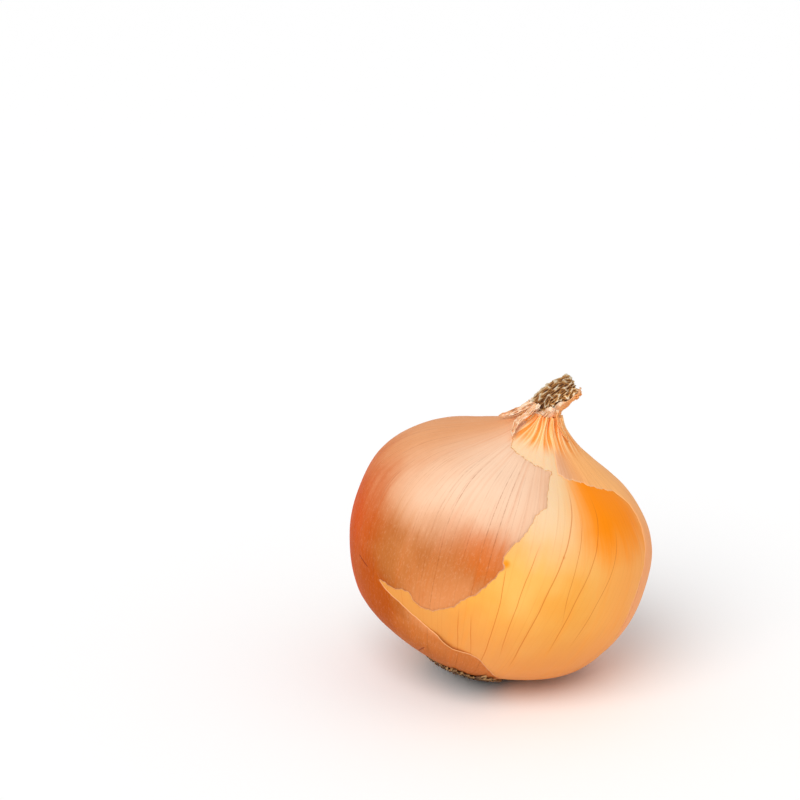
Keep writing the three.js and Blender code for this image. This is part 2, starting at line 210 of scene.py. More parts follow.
def ribHeight(lon, share):
    # 0 in the grooves of the neck and 1 on its ribs
    sway = pleatSway(lon, share)
    crest = (1 - np.abs(np.sin(bulbForm["finePleats"] * sway / 2))) ** 1.3
    hair = 1 - np.abs(np.sin(bulbForm["hairPleats"] * sway / 2 + 2 * np.sin(3 * lon) + 5 * share))
    broad = 0.5 + 0.5 * np.cos(bulbForm["pleatCount"] * lon)
    return np.clip(0.3 * broad + 0.75 * crest * (0.75 + 0.25 * np.sin(7 * lon + 2)) + 0.25 * hair, 0, 1)


def onSurface(lon, share, offset):
    spot, along = splineAt(bulbForm["sideProfile"], share)
    lift = offset + swelling(lon, share) + pleats(lon, share)
    radius = spot[..., 0] + along[..., 1] * lift
    height = spot[..., 1] - along[..., 0] * lift
    return np.stack([radius * np.sin(lon), -radius * np.cos(lon), height], axis=-1)


shareTable = np.linspace(0, 1, 4001)
sideTable = splineAt(bulbForm["sideProfile"], shareTable)[0]
latitudeTable = np.degrees(np.arctan2(sideTable[:, 1], sideTable[:, 0]))
climbTable = np.concatenate([[0], np.cumsum(np.linalg.norm(np.diff(sideTable, axis=0), axis=1))])
rootEnd = shareTable < 0.3  # where the radius only grows


def shareAtLatitude(latitude):
    return np.interp(latitude, latitudeTable, shareTable)


# node helpers

def paint(red, green, blue):
    # screen colour 0-255 to a linear colour
    parts = (red / 255, green / 255, blue / 255)
    return tuple(c / 12.92 if c <= 0.04045 else ((c + 0.055) / 1.055) ** 2.4 for c in parts) + (1.0,)


class Finish:
    def __init__(self, name):
        self.material = bpy.data.materials.new(name)
        self.material.use_nodes = True
        self.tree = self.material.node_tree
        self.tree.nodes.clear()
        output = self.tree.nodes.new("ShaderNodeOutputMaterial")
        self.shader = self.tree.nodes.new("ShaderNodeBsdfPrincipled")
        self.tree.links.new(self.shader.outputs["BSDF"], output.inputs["Surface"])

    def feed(self, socket, value):
        if isinstance(value, bpy.types.NodeSocket):
            self.tree.links.new(value, socket)
        else:
            socket.default_value = value

    def node(self, kind, *values, **settings):
        node = self.tree.nodes.new("ShaderNode" + kind)
        for name, setting in settings.items():
            setattr(node, name, setting)
        for socket, value in zip(node.inputs, values):
            self.feed(socket, value)
        return node

    def feedAll(self, node, values):
        for name, value in values.items():
            self.feed(node.inputs[name], value)

    def attribute(self, name, output="Fac"):
        return self.node("Attribute", attribute_name=name).outputs[output]

    def give(self, name, value):
        self.feed(self.shader.inputs[name], value)

    def glow(self, *reach):
        # a little light passes inside, this many metres in red, green and blue
        self.give("Subsurface Weight", 0.1)
        self.give("Subsurface Radius", reach)
        self.give("Subsurface Scale", 1.0)

    def spot(self):
        return self.attribute("inBulb", "Vector")

    def calc(self, operation, *values, clamp=False):
        return self.node("Math", *values, operation=operation, use_clamp=clamp).outputs[0]

    def times(self, first, second):
        return self.calc("MULTIPLY", first, second)

    def plus(self, first, second):
        return self.calc("ADD", first, second)

    def minus(self, first, second):
        return self.calc("SUBTRACT", first, second)

    def most(self, first, second):
        return self.calc("MAXIMUM", first, second)

    def vectorCalc(self, operation, *values):
        return self.node("VectorMath", *values, operation=operation)

    def split(self, vector):
        return self.node("SeparateXYZ", vector).outputs

    def join(self, x, y, z):
        return self.node("CombineXYZ", x, y, z).outputs[0]

    def noise(self, vector, scale, detail=3.0, roughness=0.5, distortion=0.0):
        node = self.node("TexNoise", vector)
        self.feedAll(node, {"Scale": scale, "Detail": detail, "Roughness": roughness, "Distortion": distortion})
        return node.outputs["Fac"]

    def cellValue(self, number):
        node = self.node("TexWhiteNoise", noise_dimensions="1D")
        self.feedAll(node, {"W": number})
        return node.outputs["Value"]

    def between(self, value, low, high, fromValue=0.0, toValue=1.0):
        numbers = (value, low, high, fromValue, toValue)
        return self.node("MapRange", *numbers, interpolation_type="SMOOTHSTEP").outputs[0]

    def mix(self, factor, first, second):
        node = self.node("Mix", factor, data_type="RGBA")
        self.feed(node.inputs[6], first)
        self.feed(node.inputs[7], second)
        return node.outputs[2]

    def lay(self, factor, colour):
        # over what is painted so far
        self.colour = self.mix(factor, self.colour, colour)

    def ramp(self, factor, stops):
        node = self.node("ValToRGB", factor)
        elements = node.color_ramp.elements
        while len(elements) < len(stops):
            elements.new(0.5)
        for element, (place, colour) in zip(elements, stops):
            element.position = place
            element.color = colour
        return node.outputs[0]

    def bump(self, height, strength, distance, normal=None):
        node = self.node("Bump")
        self.feedAll(node, {"Strength": strength, "Distance": distance, "Height": height})
        if normal is not None:
            self.feedAll(node, {"Normal": normal})
        return node.outputs[0]


def spotAt(f, place, size):
    # 1 within a small round patch of the surface, fading out at size
    away = f.vectorCalc("DISTANCE", f.spot(), aroundAxis(*place)).outputs["Value"]
    return f.between(away, size * 0.4, size, 1.0, 0.0)


def band(f, value, centre, core, edge):
    # 1 where value is within core of centre, 0 beyond edge
    return f.between(f.calc("ABSOLUTE", f.minus(value, centre)), core, edge, 1.0, 0.0)


def mottled(f, value, streaks, byStreaks, clouds, byClouds):
    # a coordinate pushed about by two noises, so that no border runs straight
    pushed = f.times(f.minus(streaks, 0.5), byStreaks)
    drift = f.times(f.minus(clouds, 0.5), byClouds)
    return f.plus(value, f.plus(pushed, drift))


def bulbPlaces(f):
    # height, longitude and distance from the axis on an onion skin, and the way it faces
    x, y, z = f.split(f.spot())
    radius = f.most(f.calc("SQRT", f.plus(f.times(x, x), f.times(y, y))), 0.5)
    lon = f.calc("ARCTAN2", x, f.times(y, -1.0))
    east, south = f.calc("DIVIDE", x, radius), f.calc("DIVIDE", y, radius)
    return {"z": z, "radius": radius, "lon": lon, "east": east, "south": south}


def upNoise(f, places, around, along, *fineness):
    # noise that runs in streaks up the bulb
    east, south = f.times(places["east"], around), f.times(places["south"], around)
    return f.noise(f.join(east, south, f.times(places["z"], along)), 1.0, *fineness)


def veinLines(f, places, count, width, wander, seed, lean=0.0165):
    # thin lines up the meridians, one in each of count sectors, of uneven place and strength
    slow = upNoise(f, places, 2.0, 0.02, 1.0)
    # they draw together towards the root at the front
    apart = f.calc("SINE", f.times(f.minus(places["lon"], 0.113), 2.0))
    swirl = f.times(f.times(places["z"], apart), lean / 2)
    turn = f.times(f.minus(places["lon"], swirl), count / (2 * math.pi))
    turn = f.plus(turn, f.times(slow, wander))
    cell = f.calc("FLOOR", turn)
    within = f.minus(turn, cell)
    chance = f.cellValue(f.plus(cell, seed))
    centre = f.plus(f.times(chance, 0.5), 0.25)
    away = f.calc("ABSOLUTE", f.minus(within, centre))
    distance = f.times(away, f.times(places["radius"], 2 * math.pi / count))
    line = f.between(distance, width * 0.3, width, 1.0, 0.0)
    strength = f.cellValue(f.plus(cell, seed + 37.5))
    broken = upNoise(f, places, 9.0, 0.07, 2.0)
    strength = f.plus(f.times(strength, 0.75), 0.25)
    strength = f.times(strength, f.between(broken, 0.35, 0.6, 0.25, 1.0))
    return f.times(line, strength)


def drawnVein(f, places, stops, width, sway):
    # one vein through a longitude in degrees at each height
    heights, lons = zip(*stops)
    bend = [float(k) for k in np.polyfit(heights, np.radians(lons), min(2, len(stops) - 1))]
    centre = bend[0]
    for number in bend[1:]:
        centre = f.plus(f.times(places["z"], centre), number)
    away = f.calc("ABSOLUTE", f.minus(places["lon"], f.plus(centre, sway)))
    line = f.between(f.times(away, places["radius"]), width * 0.3, width, 1.0, 0.0)
    top = f.between(places["z"], max(heights) + 1.0, max(heights) - 5.0)
    bottom = f.between(places["z"], min(heights) - 6.0, min(heights) + 3.0)
    return f.times(line, f.times(top, bottom))


def shortCrack(f, first, last, width):
    # a thin mark between two spots, each given as longitude, height and radius
    start = Vector(aroundAxis(*first))
    reach = Vector(aroundAxis(*last)) - start
    beside = f.vectorCalc("SUBTRACT", f.spot(), tuple(start)).outputs[0]
    along = f.vectorCalc("DOT_PRODUCT", beside, tuple(reach / reach.length_squared)).outputs["Value"]
    onLine = f.vectorCalc("SCALE", tuple(reach))
    f.feed(onLine.inputs["Scale"], f.calc("ADD", along, 0.0, clamp=True))
    gap = f.vectorCalc("DISTANCE", beside, onLine.outputs[0]).outputs["Value"]
    return f.between(gap, width * 0.4, width, 1.0, 0.0)


# gold scale that shows through the torn skin

goldScale = {
    "inset": 0.34,
    "pressedTo": 0.45,  # mm above the ground where it lies flat
    "columns": 400,
    "rows": 150,
    "pale": paint(246, 186, 96),
    "gold": paint(244, 168, 70),
    "cream": paint(240, 206, 166),
    "deep": paint(255, 141, 0),
    "vein": paint(206, 100, 20),
    "peach": paint(232, 152, 84),
    "low": paint(222, 146, 70),
    "right": paint(254, 170, 82),
    "rib": paint(255, 208, 148),
    "groove": paint(244, 148, 66),
}

# longitude at each height of the scale's plainest veins, and how wide each is
goldVeins = [
    (0.24, [(30, 27), (22, 20), (16, 18.8), (7, 17.6), (-1, 15.6), (-16, 14)]),
    (0.17, [(17, 8.8), (10, 7), (-1.5, 6.8), (-13, 7.6)]),
    (0.2, [(28, 43), (20, 33.6), (11, 30.8), (0, 28.8), (-9, 25.6)]),
    (0.17, [(22, 50), (15, 43), (5, 39.6), (-6, 35)]),
    (0.14, [(25, 29), (19, 26.4), (1, 24.8)]),
    (0.17, [(10, -1.6), (2, 0), (-20, 2.4)]),
    (0.16, [(-6, -8), (-17, -3.6)]),
    (0.16, [(-6, -12.8), (-18, -8.8)]),
]


def neckColour(f, places, look):
    # pleated neck: pale ribs and deep orange grooves that end in a scalloped line; the grooves' deep orange is
    # painted shade and the ribs' paleness a painted highlight, following the pleats
    rib = f.attribute("rib")
    streaks = upNoise(f, places, 30.0, 0.12, 3.0, 0.6)
    level = f.minus(places["z"], f.times(rib, 0.8))
    level = f.plus(level, f.times(streaks, 2.4))
    pleated = f.mix(f.between(rib, 0.15, 0.7), look["groove"], look["rib"])
    pleated = f.mix(f.between(streaks, 0.5, 0.72, 0.0, 0.4), pleated, look["deep"])
    return f.mix(f.between(level, 33.4, 36.6), f.colour, pleated)


def goldScaleFinish():
    look = goldScale
    f = Finish("gold scale")
    p = bulbPlaces(f)
    streaks = upNoise(f, p, 14.0, 0.035, 4.0, 0.6)
    clouds = f.noise(f.spot(), 0.045, 3.0)
    f.colour = f.mix(f.between(clouds, 0.3, 0.7), look["gold"], look["pale"])
    z = mottled(f, p["z"], streaks, 6.0, clouds, 9.0)
    lon = mottled(f, p["lon"], streaks, 0.12, clouds, 0.25)
    f.lay(f.between(lon, 0.4, 1.0), look["right"])
    f.lay(f.between(z, 4.0, -28.0, 0.0, 0.95), look["peach"])
    # darker low on the left, just under the torn skin: a painted shadow of the skin piece
    lowLeftShade = f.times(f.between(lon, 0.0, -0.5), f.between(z, 0.0, -10.0))
    f.lay(f.times(lowLeftShade, 0.8), look["low"])
    # paler cream towards the top of the opening: a painted highlight from the light above
    top = f.times(f.between(z, 8.0, 25.0), f.between(lon, 0.8, 0.15))
    f.lay(f.times(top, 0.92), look["cream"])
    # deep orange on the right shoulder: painted reflection of orange surroundings and painted glow of light
    # through the scale
    paintedShoulderGlow = f.times(band(f, lon, 0.95, 0.2, 0.64), band(f, z, 26.0, 3.0, 13.0))
    f.lay(paintedShoulderGlow, look["deep"])
    f.lay(f.between(streaks, 0.5, 0.78, 0.0, 0.15), look["deep"])
    # random veins all round, and the plainest ones of the front
    inFront = band(f, p["lon"], 0.3, 0.7, 0.9)
    veins = f.times(veinLines(f, p, 44, 0.24, 0.6, 3.0), f.minus(1.0, inFront))
    faint = veinLines(f, p, 120, 0.16, 1.2, 11.0)
    marks = f.most(veins, f.times(faint, 0.25))
    sway = f.times(f.minus(upNoise(f, p, 0.2, 0.1, 2.0), 0.5), 0.02)
    for width, stops in goldVeins:
        marks = f.most(marks, drawnVein(f, p, stops, width, sway))
    marks = f.times(marks, f.between(p["z"], 31.0, 24.0))
    f.lay(f.times(marks, 0.62), look["vein"])
    f.lay(f.times(spotAt(f, (-2.0, 10.0, 42.2), 1.7), 0.85), look["deep"])
    f.lay(f.times(spotAt(f, (19.0, 15.3, 40.2), 0.9), 0.7), look["vein"])
    f.colour = neckColour(f, p, look)
    f.give("Base Color", f.colour)
    fibres = upNoise(f, p, 60.0, 0.12, 3.0, 0.6)
    relief = f.bump(fibres, 0.1, 0.0003)
    f.give("Normal", f.bump(marks, 0.12, 0.0002, relief))
    f.give("Roughness", f.between(streaks, 0.3, 0.7, 0.36, 0.48))
    f.give("Specular IOR Level", 0.05)
    f.glow(0.004, 0.002, 0.0008)
    return f.material


def buildGoldScale():
    look = goldScale
    shares = np.linspace(0.012, bulbForm["neckTop"], look["rows"])
    share, lon = grid(shares, look["columns"])
    points = onSurface(lon, share, -look["inset"]).reshape(-1, 3)
    low, high = (0, 0, sideTable[0, 1] + look["inset"]), (0, 0, points[-look["columns"]:, 2].mean())
    points, faces = closedTube(points, look["rows"], look["columns"], low, high)
    piece = makePiece("goldScale", points, faces, goldScaleFinish(), look["pressedTo"])
    keepNumbers(piece, "rib", np.concatenate([ribHeight(lon, share).ravel(), [0.5, 0.5]]))
    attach(piece, "root")
    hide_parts("bulb")
    return piece


# papery outer skin, torn open at the front

outerSkin = {
    "lowFace": -0.26,  # inner face, against the side profile
    "thickness": 0.16,
    "pressedTo": (0.0, 0.14),  # mm above the ground where it lies flat, outer and inner face
    "columns": 330,
    "rowStep": 0.85,  # mm up the side
    "girthRadius": 40.0,
    "edgeStep": 0.45,
    "topLatitude": 80.3,
    "topRagged": 1.7,
    "rootMiddle": (1.0, -5.0),
    "rootMargin": 12.4,
    "tan": paint(174, 94, 34),
    "honey": paint(190, 112, 54),
    "pink": paint(224, 158, 110),
    "pale": paint(240, 202, 172),
    "peach": paint(224, 144, 88),
    "warm": paint(208, 98, 6),
    "limb": paint(204, 74, 0),
    "low": paint(180, 76, 0),
    "right": paint(250, 170, 112),
    "flap": paint(200, 114, 52),
    "brown": paint(166, 84, 28),
    "vein": paint(136, 66, 22),
    "crack": paint(120, 34, 8),
    "rim": paint(252, 206, 164),
    "edge": paint(255, 178, 96),
    "glow": paint(255, 188, 116),
    "cream": paint(224, 196, 140),
    "deep": paint(240, 134, 34),
    "rib": paint(255, 206, 148),
    "groove": paint(244, 148, 66),
}

# torn opening as longitude and latitude, from the neck down the left piece, along the flap, and up the right
leftPieceEdge = [
    (-45, 86), (-43, 78), (-40, 71.5), (-27.6, 64.4), (-12.8, 62.3), (-1.6, 60), (8, 59), (14.5, 58.6),
    (12.5, 55), (10.8, 51.6), (9.6, 42.2), (9.2, 38.1), (4, 33.2), (3.2, 27.9), (-0.4, 22), (-2.8, 17.2),
    (-4, 14.5), (-1.2, 12.2), (-3.6, 9.1), (-5.6, 3.4), (-8.8, -1), (-12.4, -5.4), (-16, -9.9),
    (-20.4, -13.2), (-25.6, -15.2), (-28.4, -15.2), (-30.8, -13.7), (-33.2, -11.7), (-42.4, -14.4),
    (-50, -14.9),
]
flapEdge = [
    (-45.6, -16.6), (-38, -17.9), (-30, -19.9), (-22.4, -22), (-18.4, -22.9), (-14.4, -25), (-9.6, -26.6),
    (-4, -26.4), (0, -27.4), (3.2, -29.5), (8.4, -34.2), (12.4, -38.5), (16.5, -42), (22, -48), (31, -54),
]
hiddenEdge = [(42, -56.5), (55, -55), (66, -50), (73, -42), (76, -32), (73, -22)]
rightPieceEdge = [
    (66, -14), (62, -5), (63, 5), (66, 14), (71, 22), (76, 29), (79, 35), (78.5, 41), (76, 45), (73.6, 47.9),
    (62, 50.8), (48.8, 53.3), (39.2, 55.4), (26, 55.8), (19.8, 57.6), (19.6, 64), (21, 71), (24, 78),
    (25, 86),
]

# longitude, height and radius along two short cracks in the skin, after each one's width
skinCracks = [
    (0.26, [(-29.6, -27.3, 28.6), (-26.8, -25.7, 31.3), (-24.8, -24.4, 33.1), (-23.6, -23.5, 34.0)]),
    (0.3, [(-65.6, -9.1, 40.8), (-58.4, -9.9, 40.6)]),
]


def unrolled(lonDegrees, latitude):
    # longitude and latitude to flat millimetres on the unrolled skin
    across = np.radians(lonDegrees) * outerSkin["girthRadius"]
    return np.stack([across, np.interp(shareAtLatitude(latitude), shareTable, climbTable)], axis=-1)


def tornLine(corners, wildness, seed):
    # walks along the corners in short steps and frays the line sideways
    spots = unrolled(*np.array(corners, dtype=float).T)
    lengths = np.linalg.norm(np.diff(spots, axis=0), axis=1)
    walk = np.concatenate([[0], np.cumsum(lengths)])
    steps = max(int(walk[-1] / outerSkin["edgeStep"]), 2)
    along = np.linspace(0, walk[-1], steps + 1)
    line = np.stack([np.interp(along, walk, spots[:, k]) for k in range(2)], axis=-1)
    kernel = np.array([1, 2, 3, 2, 1]) / 9
    soft = line.copy()
    for k in range(2):
        soft[2:-2, k] = np.convolve(line[:, k], kernel, mode="valid")
    heading = np.gradient(soft, axis=0)
    sideways = unit(np.stack([-heading[:, 1], heading[:, 0]], axis=-1))
    ends = np.clip(np.minimum(along, walk[-1] - along) / 2.0, 0, 1)
    fray = 0.24 * waves(along, seed, 7.0, 3) + 0.09 * waves(along, seed + 1, 2.1, 4)
    return soft + sideways * (wildness * ends * fray)[:, None]


def rootMargin(lonDegrees):
    # the skin ends in a ragged ring round the root plate, a little to the front of the axis
    look = outerSkin
    turn = np.radians(lonDegrees)
    toward = look["rootMiddle"][0] * np.sin(turn) - look["rootMiddle"][1] * np.cos(turn)
    off = look["rootMiddle"][0] ** 2 + look["rootMiddle"][1] ** 2
    turns = lonDegrees / 3.6
    ring = look["rootMargin"] + 0.3 * waves(turns, 3, 25.0, 2) + 0.25 * waves(turns, 4, 100 / 13, 4)
    radius = toward + np.sqrt(ring**2 - off + toward**2)
    climb = np.interp(radius, sideTable[rootEnd, 0], climbTable[rootEnd])
    return np.stack([turn * look["girthRadius"], climb], axis=-1)


def rimLatitude(lon):
    turns = lon / 3.6
    ragged = 0.45 * waves(turns, 7, 25.0, 2) + 0.45 * waves(turns, 8, 100 / 13, 4)
    return outerSkin["topLatitude"] + outerSkin["topRagged"] * ragged


def skinOutline():
    look = outerSkin
    lonSteps = np.linspace(-180, 180, 420)
    base = rootMargin(lonSteps)
    base[-1, 1] = base[0, 1]
    opening = np.vstack([
        tornLine(rightPieceEdge[::-1], 1.0, 21)[:-1],
        tornLine(rightPieceEdge[:1] + hiddenEdge[::-1], 1.0, 22)[:-1],
        tornLine(hiddenEdge[:1] + flapEdge[::-1], 0.3, 23)[:-1],
        tornLine(flapEdge[:1] + leftPieceEdge[::-1], 1.0, 24),
    ])
    rightTop = np.linspace(180, 25, 175)
    leftTop = np.linspace(-45, -180, 160)
    topRight = unrolled(rightTop, rimLatitude(rightTop))
    topLeft = unrolled(leftTop, rimLatitude(leftTop))
    topLeft[-1, 1] = topRight[0, 1]
    opening = opening[opening[:, 1] < min(topRight[-1, 1], topLeft[0, 1]) - 0.3]
    seam = np.linspace(base[0, 1], topRight[0, 1], 90)[1:-1]
    edge = math.pi * look["girthRadius"]
    rightSeam = np.stack([np.full(len(seam), edge), seam], axis=-1)
    leftSeam = np.stack([np.full(len(seam), -edge), seam[::-1]], axis=-1)
    loop = np.vstack([base, rightSeam, topRight, opening, topLeft, leftSeam])
    torn = np.vstack([topRight, opening, topLeft])
    return loop, torn


def nearness(spots, targets):
    tree = kdtree.KDTree(len(targets))
    for index, target in enumerate(targets):
        tree.insert((target[0], target[1], 0), index)
    tree.balance()
    found = [tree.find((spot[0], spot[1], 0)) for spot in spots]
    return np.array([hit[2] for hit in found]), np.array([hit[1] for hit in found])


def buildOuterSkin():
    look = outerSkin
    loop, torn = skinOutline()
    edge = math.pi * look["girthRadius"]
    columns = np.linspace(-edge, edge, look["columns"], endpoint=False)[1:]
    rows = np.arange(loop[:, 1].min(), loop[:, 1].max(), look["rowStep"])
    across, up = np.meshgrid(columns, rows)
    across = across + ((np.arange(len(rows)) % 2) * (columns[1] - columns[0]) / 2)[:, None]
    inner = np.stack([across.ravel(), up.ravel()], axis=-1)
    inner = inner[(inner[:, 0] < edge - 0.3) & (inner[:, 0] > -edge + 0.3)]
    gap, _ = nearness(inner, loop)
    inner = inner[gap > 0.34]
    spots = np.vstack([loop, inner])
    result = delaunay_2d_cdt([Vector(spot) for spot in spots], [], [list(range(len(loop)))], 1, 1e-6)
    flat = np.array([(v.x, v.y) for v in result[0]])
    faces = [tuple(face) for face in result[2]]
    partner = {round(y, 4): index for index, (x, y) in enumerate(flat) if x < -edge + 1e-4}
    same = {index: partner.get(round(y, 4), index) for index, (x, y) in enumerate(flat) if x > edge - 1e-4}
    faces = [tuple(same.get(i, i) for i in face) for face in faces]
    used = sorted({i for face in faces for i in face})
    renumber = {old: new for new, old in enumerate(used)}
    faces = np.array([[renumber[i] for i in face] for face in faces])
    flat = flat[used]
    lon = flat[:, 0] / look["girthRadius"]
    share = np.interp(flat[:, 1], climbTable, shareTable)
    tornGap, tornHit = nearness(flat, torn)
    squeeze = np.clip(np.interp(share, shareTable, sideTable[:, 0]) / 38.0, 0.12, 1)
    tornReach = tornGap * squeeze
    # the torn margin stands off the gold scale here and there
    wander = np.clip(waves(tornHit.astype(float), 5, 60.0, 4), 0, 1.4)
    lift = 0.03 * wander * np.exp(-tornReach / 2.2)
    lonDegrees = np.degrees(lon)
    height = np.interp(share, shareTable, latitudeTable)
    onFlap = np.exp(-(((lonDegrees + 12) / 8) ** 2)) * np.exp(-np.clip(-26 - height, 0, 60) / 5.0)
    lift += 0.8 * onFlap * (height < -21) * np.exp(-tornReach / 3.5)
    buckle = 0.035 * np.sin(31 * lon + 2 * np.sin(4 * lon)) * np.sin(9 * share + 3 * np.sin(3 * lon))
    pressed = 0.11 * np.exp(-((tornReach / 0.9) ** 2))
    low = look["lowFace"] + lift + buckle - pressed
    thickness = look["thickness"] * (0.25 + 0.75 * smoothStep(tornReach, 0.0, 0.7))
    outerPoints = onSurface(lon, share, low + thickness)
    innerPoints = onSurface(lon, share, low)
    count = len(flat)
    edges = {}
    for a, b, c in faces:
        for pair in ((a, b), (b, c), (c, a)):
            edges[pair] = True
    walls = []
    for a, b in edges:
        if (b, a) not in edges:
            walls.append((a, a + count, b + count))
            walls.append((a, b + count, b))
    allFaces = np.vstack([faces, faces[:, ::-1] + count, np.array(walls)])
    points = np.vstack([outerPoints, innerPoints])
    pressedTo = np.repeat(look["pressedTo"], count)
    piece = makePiece("outerSkin", points, allFaces, outerSkinFinish(), pressedTo)
    # crisp edges, or the paper's faces would be shaded dark towards them
    piece.data.polygons.foreach_set("use_smooth", np.arange(len(allFaces)) < 2 * len(faces))
    keepNumbers(piece, "tornReach", np.tile(tornReach, 2))
    keepNumbers(piece, "rib", np.tile(ribHeight(lon, share), 2))
    return piece


def outerSkinFinish():
    look = outerSkin
    f = Finish("papery outer skin")
    p = bulbPlaces(f)
    streaks = upNoise(f, p, 24.0, 0.035, 6.0, 0.66)
    clouds = f.noise(f.spot(), 0.05, 3.0, 0.5, 0.3)
    f.colour = f.mix(f.between(clouds, 0.35, 0.65), look["tan"], look["honey"])
    z = mottled(f, p["z"], streaks, 9.0, clouds, 12.0)
    lon = mottled(f, p["lon"], streaks, 0.14, clouds, 0.4)
    # the front: peach low down, paler up to the shoulder as painted light from above, a warm patch between
    onFront = f.times(f.between(lon, -0.75, -0.3), f.between(lon, 1.2, 0.6))
    lowFront = f.times(onFront, f.between(z, 9.0, -7.0, 0.0, 0.85))
    f.lay(lowFront, look["peach"])
    f.lay(f.between(z, -4.0, 26.0), look["pink"])
    # a painted highlight on the upper front, where the light from above shines broadly
    paintedHighlight = f.times(band(f, lon, -0.36, 0.1, 1.1), band(f, z, 26.0, 1.0, 23.0))
    f.lay(paintedHighlight, look["pale"])
    patch = f.times(band(f, lon, -0.19, 0.02, 0.4), band(f, z, 8.5, 1.0, 9.5))
    f.lay(f.times(patch, 0.72), look["warm"])
    # both sides are more orange; the upper right is painted lighter as painted light from above, and the deep
    # orange down the left side is painted shade with a painted reflection of orange surroundings
    rightSide = f.times(f.between(lon, 0.4, 0.95), f.between(lon, 2.6, 1.5))
    f.lay(rightSide, look["right"])
    f.lay(f.times(rightSide, f.between(z, 14.0, 28.0, 0.0, 0.85)), look["glow"])
    leftShadeAndReflection = f.times(band(f, lon, -1.5, 0.15, 0.7), f.between(z, 26.0, 0.0))
    f.lay(f.times(leftShadeAndReflection, 0.9), look["limb"])
    # lower on the left the same painted shade and orange reflection reaches further down
    lowLeftShade = f.plus(lon, f.times(f.plus(z, 5.0), 0.027))
    lowLeftShade = f.times(band(f, lowLeftShade, -1.3, 0.1, 0.5), f.between(z, -2.0, -14.0, 0.0, 0.8))
    f.lay(lowLeftShade, look["low"])
    flap = f.times(band(f, lon, 0.0, 0.5, 0.9), f.between(p["z"], -16.0, -18.5, 0.0, 0.85))
    f.lay(flap, look["flap"])
    f.lay(f.between(streaks, 0.46, 0.72, 0.0, 0.2), look["warm"])
    under = f.between(z, -20.0, -29.0, 0.0, 0.5)
    f.lay(under, look["brown"])
    halo = f.between(f.plus(p["radius"], f.times(streaks, 9.0)), 24.0, 17.0, 0.0, 0.55)
    f.lay(f.times(halo, f.between(p["z"], -29.0, -32.0)), look["cream"])
    veins = veinLines(f, p, 58, 0.19, 0.8, 5.0, 0.008)
    faint = veinLines(f, p, 170, 0.15, 1.6, 17.0, 0.008)
    dots = upNoise(f, p, 40.0, 0.9, 2.0, 0.7)
    marks = f.times(f.most(veins, f.times(faint, 0.5)), f.between(dots, 0.4, 0.6, 0.4, 1.0))
    marks = f.times(marks, f.between(p["z"], 33.0, 25.0, 0.2, 1.0))
    f.lay(f.times(marks, 0.42), look["vein"])
    # pale flecks where the dry surface catches the light
    flecks = upNoise(f, p, 70.0, 0.9, 3.0, 0.75)
    f.lay(f.between(flecks, 0.48, 0.8, 0.0, 0.16), look["rim"])
    cracks = 0.0
    for width, stops in skinCracks:
        for first, last in zip(stops, stops[1:]):
            cracks = f.most(cracks, shortCrack(f, first, last, width))
    f.lay(f.times(cracks, 0.7), look["crack"])
    # a paler torn margin: the thin paper's own edge, with a painted highlight where it catches the light
    rim = f.between(f.attribute("tornReach"), 0.08, 0.4, 0.5, 0.0)
    f.lay(rim, look["rim"])
    f.lay(f.between(f.attribute("tornReach"), 0.03, 0.12, 0.9, 0.0), look["edge"])
    f.lay(f.between(p["lon"], -0.85, -0.6), neckColour(f, p, look))
    f.give("Base Color", f.colour)
    fibres = upNoise(f, p, 75.0, 0.1, 4.0, 0.65)
    relief = f.bump(fibres, 0.25, 0.0004)
    f.give("Normal", f.bump(marks, 0.2, 0.0002, relief))
    f.give("Roughness", f.between(fibres, 0.3, 0.7, 0.42, 0.56))
    f.give("Specular IOR Level", 0.02)
    return f.material


# withered stub of the leaves

neckStub = {
    "line": [
        (-0.9, 0, 41.3), (-1.2, -0.1, 42.6), (-0.75, -0.1, 44.4), (0.4, 0, 46.2),
        (1.75, 0.1, 48.0), (3.1, 0.2, 49.6), (4.3, 0.2, 50.8), (5.2, 0.2, 51.7),
    ],
    "halfWidth": [4.1, 4.3, 4.3, 4.2, 4.0, 3.6, 3.0, 2.2],
    "flatness": 0.82,
    "folds": 5,
    "foldDepth": 0.5,
    "hollow": (0.5, 0, 0.85),  # how far the middle of the broken tip is sunk
    "columns": 300,
    "rows": 150,
    "dark": paint(84, 46, 18),
    "brown": paint(182, 116, 48),
    "pale": paint(238, 194, 132),
    "light": paint(255, 238, 206),
    "olive": paint(204, 150, 82),
    "ridgeShadeTones": [(0.06, "dark"), (0.2, "brown"), (0.36, "olive"), (0.5, "pale"), (0.7, "light")],
}


def stubRelief(turn, share):
    wind = turn + 1.1 * share
    fold = np.abs(np.sin(neckStub["folds"] * wind / 2 + 0.4))
    ripple = 0.16 * np.sin(9 * turn + 14 * share) + 0.12 * np.sin(17 * share - 4 * turn)
    return neckStub["foldDepth"] * (fold - 0.7) + ripple


def fineWrinkle(turn, share):
    # narrow crumpled ridges that run along the stub and break up across it
    total = np.zeros_like(turn, dtype=float)
    rng = np.random.default_rng(8)
    for count, weight in ((8, 1.0), (13, 0.85), (22, 0.6), (35, 0.4)):
        lean = rng.uniform(-7, 7)
        wobble = 1.3 * np.sin(rng.uniform(7, 18) * share + 2 * turn + rng.uniform(0, 6)) + rng.uniform(0, 6)
        ridge = 1 - np.abs(np.sin(count * turn / 2 + lean * share + wobble))
        crossing = 0.6 + 0.4 * np.sin(rng.uniform(14, 40) * share + 3 * turn)
        total += weight * ridge**2 * crossing
    return np.clip(total * 0.85, 0, 1)


